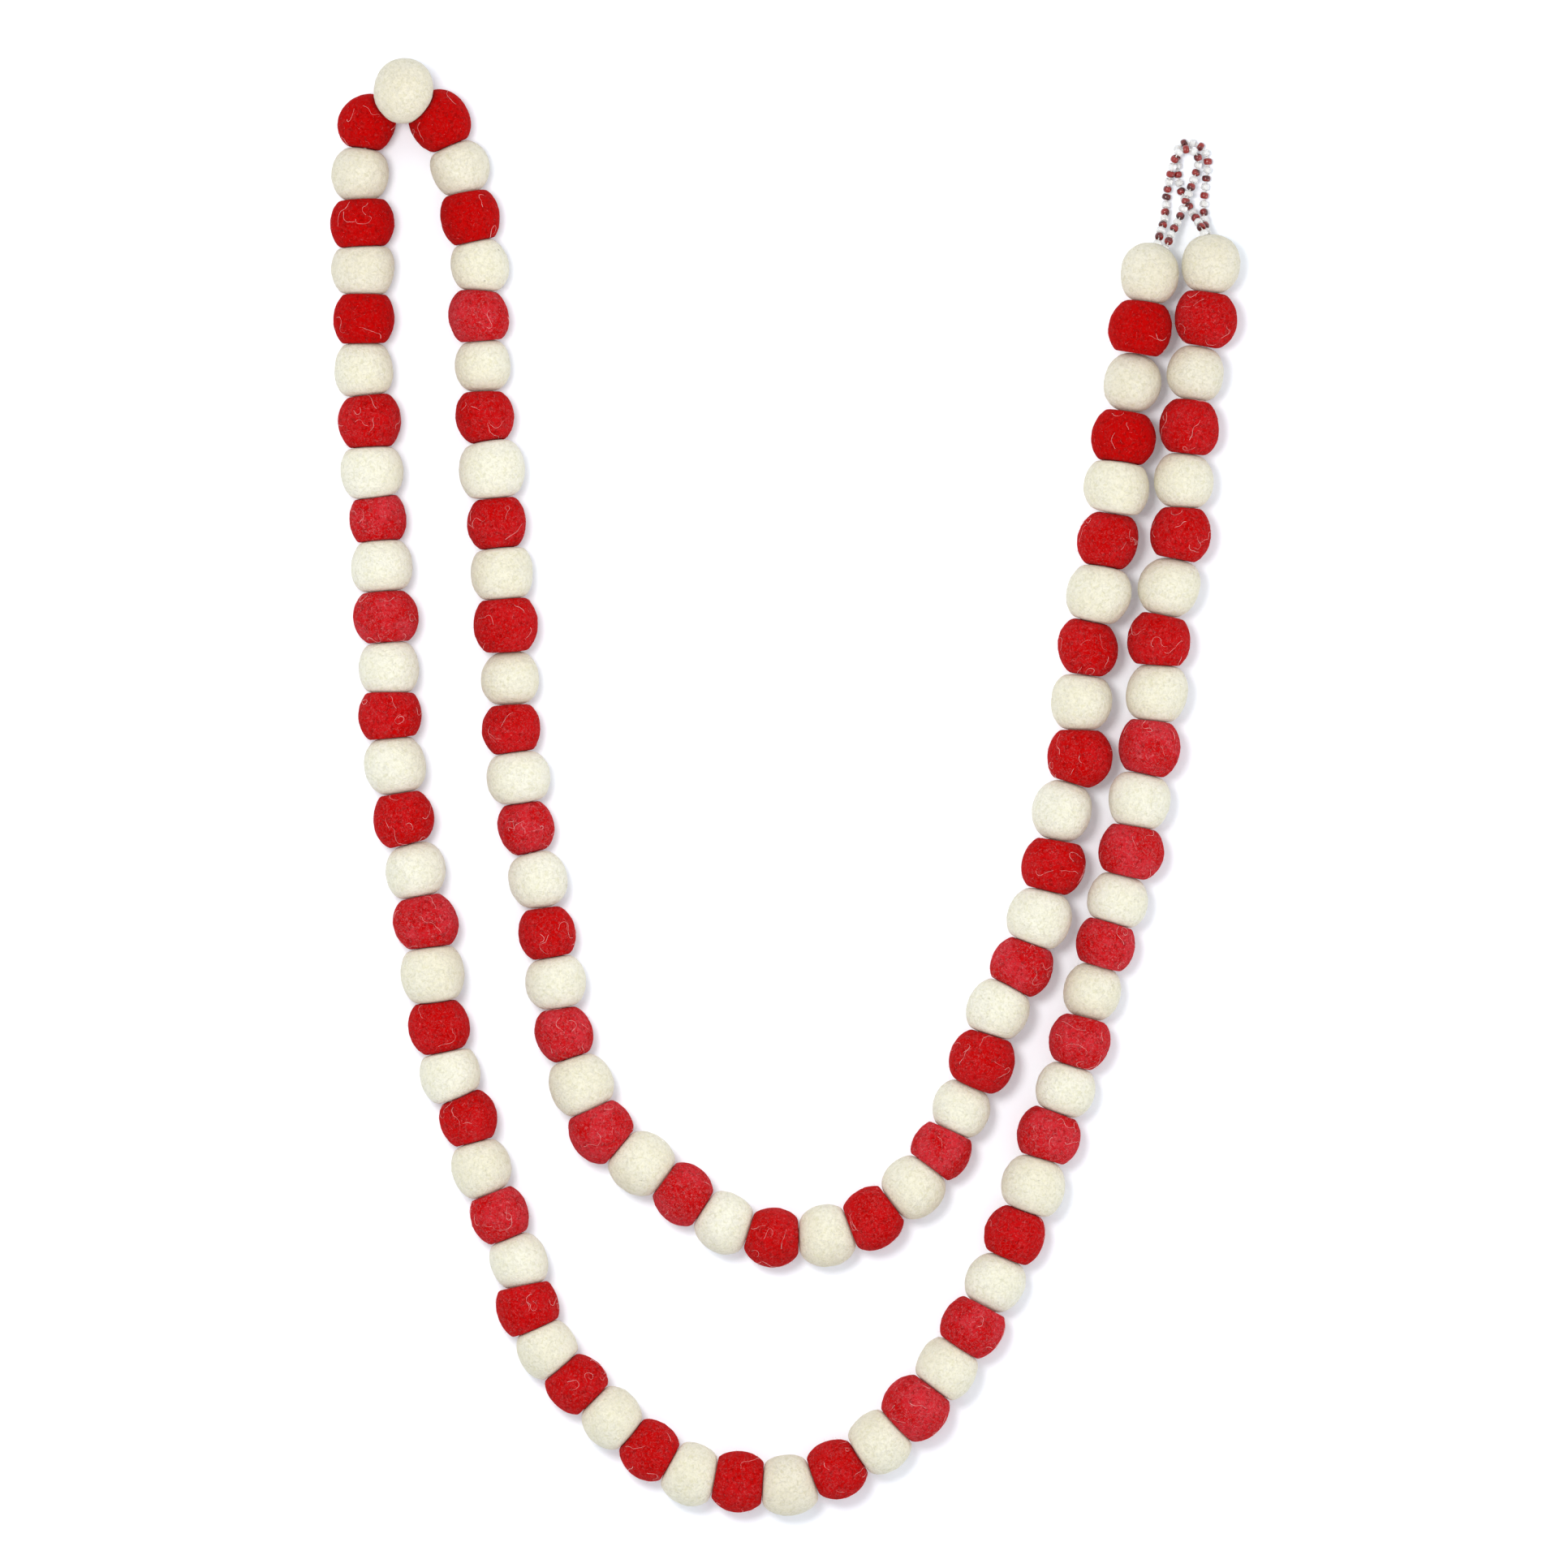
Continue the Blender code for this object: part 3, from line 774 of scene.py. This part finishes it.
def stray_fibres_of(ball, balls, settings):
    """Long fibres that wander over one ball's surface, without those that would meet another ball."""
    random = np.random.default_rng(STRAY_SEED + ball.number)
    contacts = contacts_of(ball, balls)
    strands = []
    for _ in range(stray_count_of(ball, settings)):
        direction = random.normal(size=3)
        direction[2] = abs(direction[2])
        direction /= np.linalg.norm(direction)
        heading = np.cross(direction, random.normal(size=3))
        heading /= np.linalg.norm(heading)
        steps = int(random.integers(7, 25))
        turn = random.uniform(-0.35, 0.35)
        route = []
        for _ in range(steps):
            route.append(direction)
            turn = 0.7 * turn + random.normal() * 0.2
            side = np.cross(direction, heading)
            heading = heading * math.cos(turn) + side * math.sin(turn)
            direction = direction + heading * STRAY_STEP
            direction /= np.linalg.norm(direction)
            heading -= direction * (heading @ direction)
            heading /= np.linalg.norm(heading)
        route = np.array(route)
        points = felt_surface(ball, balls, route, settings)
        lift = 0.10 + 0.10 * np.abs(np.sin(np.arange(steps) * random.uniform(0.3, 0.9)))
        points += route * (lift * MM)[:, None]
        clear = points[:, 2] > 1.0 * MM
        for place, outward in contacts:
            clear &= (points - place) @ outward < -STRAY_CLEARANCE * MM
        if clear.all():
            strands.append(points)
    return strands


# --- Beaded loops ---

def loop_route(rows, ball):
    """A hanging loop's thread: its rows, with both ends run on into the felt of its ball."""
    points = [laid_out(row) for row in rows]
    tails = [end + (ball.centre - end).normalized() * LOOP_TAIL * MM for end in (points[0], points[-1])]
    points = [tails[0], *points, tails[1]]
    stations = [0.0]
    for before, after in zip(points, points[1:]):
        stations.append(stations[-1] + (after - before).length)
    return smooth_curve(points, stations), stations


def thread_curve(name, points, radius, material):
    curve = bpy.data.curves.new(name, "CURVE")
    curve.dimensions = "3D"
    curve.bevel_depth = 1.0
    curve.bevel_resolution = 2
    curve.use_fill_caps = True
    curve.materials.append(material)
    spline = curve.splines.new("POLY")
    spline.points.add(len(points) - 1)
    for knot, point in zip(spline.points, points):
        knot.co = (*point, 1.0)
        knot.radius = radius
    piece = bpy.data.objects.new(name, curve)
    bpy.context.scene.collection.objects.link(piece)
    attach(piece, "root")
    return piece


def seed_bead(settings):
    """One seed bead on +Z: a rounded ring, spun from its section."""
    shape = bmesh.new()
    made = bmesh.ops.create_circle(shape, segments=10, radius=1.0)
    wall = (settings.bead_across - settings.bead_hole) / 4.0
    middle = (settings.bead_across + settings.bead_hole) / 4.0
    scale = Matrix.Diagonal((wall, settings.bead_length / 2.0, 1.0, 1.0))
    upright = Matrix.Rotation(math.pi / 2.0, 4, "X")
    matrix = Matrix.Translation((middle, 0.0, 0.0)) @ upright @ scale
    bmesh.ops.transform(shape, matrix=matrix, verts=made["verts"])
    bmesh.ops.spin(shape, geom=shape.verts[:] + shape.edges[:], cent=(0.0, 0.0, 0.0),
                   axis=(0.0, 0.0, 1.0), angle=2.0 * math.pi, steps=16, use_merge=True)
    bmesh.ops.remove_doubles(shape, verts=shape.verts, dist=1e-6)
    bmesh.ops.recalc_face_normals(shape, faces=shape.faces)
    mesh = bpy.data.meshes.new("seed_bead")
    shape.to_mesh(mesh)
    shape.free()
    return mesh


def beads_along(route, stations, beads, seed):
    """Where a loop's beads sit, evenly from one end to the other: one matrix each."""
    random = np.random.default_rng(seed)
    first = stations[1] - beads.first * MM
    last = stations[-2] + beads.last * MM
    places = []
    for station in np.linspace(first, last, len(beads.order)):
        place = route(station)
        towards = (route(station + 0.2 * MM) - route(station - 0.2 * MM)).normalized()
        wobble = Vector(random.normal(size=3)) * 0.09
        turn = (towards + wobble).to_track_quat("Z", "Y").to_matrix().to_4x4()
        grow = Matrix.Diagonal((*(1.0 + random.uniform(-0.05, 0.05, 3)), 1.0))
        places.append(Matrix.Translation(place) @ turn @ grow)
    return places


def joined_beads(name, bead, places):
    shape = bmesh.new()
    for place in places:
        before = len(shape.verts)
        shape.from_mesh(bead)
        shape.verts.ensure_lookup_table()
        bmesh.ops.transform(shape, matrix=place, verts=shape.verts[before:])
    mesh = bpy.data.meshes.new(name)
    shape.to_mesh(mesh)
    shape.free()
    return mesh


# --- Operators ---

class GARLAND_OT_set_stage(bpy.types.Operator):
    """Lay the floor, light it and look straight down on it"""
    bl_idname = "garland.set_stage"
    bl_label = "Set the stage"

    def execute(self, context):
        settings = context.scene.garland_stage
        self.lay_floor(settings)
        self.light(context, settings)
        self.place_camera(context, settings)
        context.scene.view_settings.view_transform = "Standard"
        return {"FINISHED"}

    def lay_floor(self, settings):
        shape = bmesh.new()
        bmesh.ops.create_grid(shape, x_segments=1, y_segments=1, size=4.0)
        mesh = bpy.data.meshes.new("floor")
        shape.to_mesh(mesh)
        shape.free()
        material, _, shader = new_material("pale_floor")
        shader.inputs["Base Color"].default_value = (*settings.floor, 1.0)
        shader.inputs["Roughness"].default_value = 0.9
        shader.inputs["Specular IOR Level"].default_value = 0.1
        mesh.materials.append(material)
        floor = bpy.data.objects.new("floor", mesh)
        bpy.context.scene.collection.objects.link(floor)

    def add_lamp(self, context, lamp, power):
        light = bpy.data.lights.new(lamp.name, "AREA")
        light.shape = "DISK"
        light.size = lamp.size
        light.energy = power
        light.color = lamp.colour
        light.use_shadow = lamp.shadow
        stand = bpy.data.objects.new(lamp.name, light)
        stand.location = lamp.place
        stand.rotation_euler = (-stand.location).to_track_quat("-Z", "Y").to_euler()
        context.scene.collection.objects.link(stand)

    def light(self, context, settings):
        self.add_lamp(context, KEY_LAMP, settings.key_power)
        self.add_lamp(context, SIDE_LAMP, settings.side_power)
        world = bpy.data.worlds.new("even_light")
        world.use_nodes = True
        background = world.node_tree.nodes["Background"]
        background.inputs["Color"].default_value = (0.95, 0.975, 1.0, 1.0)
        background.inputs["Strength"].default_value = settings.fill
        context.scene.world = world

    def place_camera(self, context, settings):
        camera = bpy.data.cameras.new("camera")
        camera.lens = settings.lens
        camera.sensor_width = 36.0
        distance = settings.view_width * camera.lens / camera.sensor_width
        viewer = bpy.data.objects.new("camera", camera)
        viewer.location = (CAMERA_AIM[0] * MM, CAMERA_AIM[1] * MM, STRING_HEIGHT * MM + distance)
        context.scene.collection.objects.link(viewer)
        context.scene.camera = viewer


class GARLAND_OT_thread_loops(bpy.types.Operator):
    """Thread the seed beads of the two hanging loops"""
    bl_idname = "garland.thread_loops"
    bl_label = "Thread the hanging loops"

    def execute(self, context):
        settings = context.scene.garland_loops
        balls = strung_balls()
        thread = thread_material()
        red = bead_material("red_bead_glass", settings.red_glass, RED_GLASS)
        clear = bead_material("clear_bead_glass", settings.clear_glass, CLEAR_GLASS)
        bead = seed_bead(settings)
        for name, rows, ball, beads, seed in (("inner", INNER_LOOP, balls[0], INNER_BEADS, 51),
                                              ("outer", OUTER_LOOP, balls[-1], OUTER_BEADS, 52)):
            route, stations = loop_route(rows, ball)
            places = beads_along(route, stations, beads, seed)
            reds = [place for place, letter in zip(places, beads.order) if letter == "r"]
            clears = [place for place, letter in zip(places, beads.order) if letter == "c"]
            red_beads = finished_piece(f"{name}_loop_red_beads", joined_beads("red_beads", bead, reds),
                                       red, (f"hanging_loop_{name}",))
            clear_beads = finished_piece(f"{name}_loop_clear_beads",
                                         joined_beads("clear_beads", bead, clears),
                                         clear, (f"hanging_loop_{name}",))
            points = [route(stations[-1] * index / (LOOP_KNOTS - 1)) for index in range(LOOP_KNOTS)]
            piece = thread_curve(f"{name}_loop_thread", points, settings.thread_across / 2.0,
                                 thread)
            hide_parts(f"hanging_loop_{name}")
        bpy.data.meshes.remove(bead)
        return {"FINISHED"}


class GARLAND_OT_run_string(bpy.types.Operator):
    """Run the stringing thread through all the balls"""
    bl_idname = "garland.run_string"
    bl_label = "Run the string"

    def execute(self, context):
        radius = context.scene.garland_loops.thread_across
        piece = thread_curve("stringing_thread", string_points(), radius,
                             thread_material())
        piece.data.bevel_resolution = 1
        return {"FINISHED"}


class GARLAND_OT_felt_cream_balls(bpy.types.Operator):
    """Felt the cream balls, each pressed by its neighbours"""
    bl_idname = "garland.felt_cream_balls"
    bl_label = "Felt the cream balls"

    def execute(self, context):
        settings = context.scene.garland_felt
        balls = strung_balls()
        check_against_solids(balls)
        felts = {letter: felt_material(f"cream_felt_{tone.name}", tone, CREAM_FINISH)
                 for letter, tone in CREAM_FELTS.items()}
        for count, ball in enumerate(balls[::2], start=1):
            mesh = felt_ball_mesh(f"cream_felt_ball_{count:02d}", ball, balls, settings)
            finished_piece(mesh.name, mesh, felts[CREAM_TONES[count - 1]],
                           (f"cream_ball_{count:02d}",))
        return {"FINISHED"}


class GARLAND_OT_felt_red_balls(bpy.types.Operator):
    """Felt the red balls, each pressed by its neighbours"""
    bl_idname = "garland.felt_red_balls"
    bl_label = "Felt the red balls"

    def execute(self, context):
        settings = context.scene.garland_felt
        balls = strung_balls()
        felts = {letter: felt_material(f"red_felt_{tone.name}", tone, RED_FINISH)
                 for letter, tone in RED_FELTS.items()}
        for count, ball in enumerate(balls[1::2], start=1):
            mesh = felt_ball_mesh(f"red_felt_ball_{count:02d}", ball, balls, settings)
            finished_piece(mesh.name, mesh, felts[RED_TONES[count - 1]],
                           (red_run_of(ball),))
        return {"FINISHED"}


class GARLAND_OT_raise_fuzz(bpy.types.Operator):
    """Raise the short fibres that stand off the felt"""
    bl_idname = "garland.raise_fuzz"
    bl_label = "Raise the fuzz"

    def execute(self, context):
        settings = context.scene.garland_felt
        balls = strung_balls()
        for colour, chosen in (("cream", balls[::2]), ("red", balls[1::2])):
            strands = [strand for ball in chosen for strand in fuzz_of(ball, balls, settings)]
            mesh = fibre_mesh(f"{colour}_fuzz", strands, FUZZ_RADIUS * MM)
            material = fibre_material(f"{colour}_fuzz", FUZZ_COLOURS[colour])
            finished_piece(mesh.name, mesh, material)
        return {"FINISHED"}


class GARLAND_OT_scatter_stray_fibres(bpy.types.Operator):
    """Scatter the long pale fibres that wander over the balls"""
    bl_idname = "garland.scatter_stray_fibres"
    bl_label = "Scatter stray fibres"

    def execute(self, context):
        settings = context.scene.garland_felt
        balls = strung_balls()
        for colour, chosen in (("cream", balls[::2]), ("red", balls[1::2])):
            strands = [strand for ball in chosen for strand in stray_fibres_of(ball, balls, settings)]
            mesh = fibre_mesh(f"{colour}_stray_fibres", strands, STRAY_RADIUS * MM)
            material = fibre_material(f"{colour}_stray_fibres", STRAY_COLOURS[colour])
            finished_piece(mesh.name, mesh, material)
        return {"FINISHED"}


class GARLAND_PT_panel(bpy.types.Panel):
    """The garland's settings and the steps that make it"""
    bl_idname = "GARLAND_PT_panel"
    bl_label = "Felt ball garland"
    bl_space_type = "VIEW_3D"
    bl_region_type = "UI"
    bl_category = "Garland"

    def draw(self, context):
        layout = self.layout
        scene = context.scene
        for group in (scene.garland_stage, scene.garland_loops, scene.garland_felt):
            box = layout.box()
            for name in group.__annotations__:
                box.prop(group, name)
        for step in STEPS:
            layout.operator(step.bl_idname)


SETTINGS = {
    "garland_felt": FeltSettings,
    "garland_loops": LoopSettings,
    "garland_stage": StageSettings,
}
STEPS = (
    GARLAND_OT_set_stage,
    GARLAND_OT_thread_loops,
    GARLAND_OT_run_string,
    GARLAND_OT_felt_cream_balls,
    GARLAND_OT_felt_red_balls,
    GARLAND_OT_raise_fuzz,
    GARLAND_OT_scatter_stray_fibres,
)


def register():
    for cls in (*SETTINGS.values(), *STEPS, GARLAND_PT_panel):
        bpy.utils.register_class(cls)
    for name, group in SETTINGS.items():
        setattr(bpy.types.Scene, name, PointerProperty(type=group))


def unregister():
    for name in SETTINGS:
        delattr(bpy.types.Scene, name)
    for cls in reversed((*SETTINGS.values(), *STEPS, GARLAND_PT_panel)):
        bpy.utils.unregister_class(cls)


def main():
    register()
    bpy.ops.garland.set_stage()
    bpy.ops.garland.thread_loops()
    bpy.ops.garland.run_string()
    bpy.ops.garland.felt_cream_balls()
    bpy.ops.garland.felt_red_balls()
    bpy.ops.garland.raise_fuzz()
    bpy.ops.garland.scatter_stray_fibres()


if __name__ == "__main__":
    main()
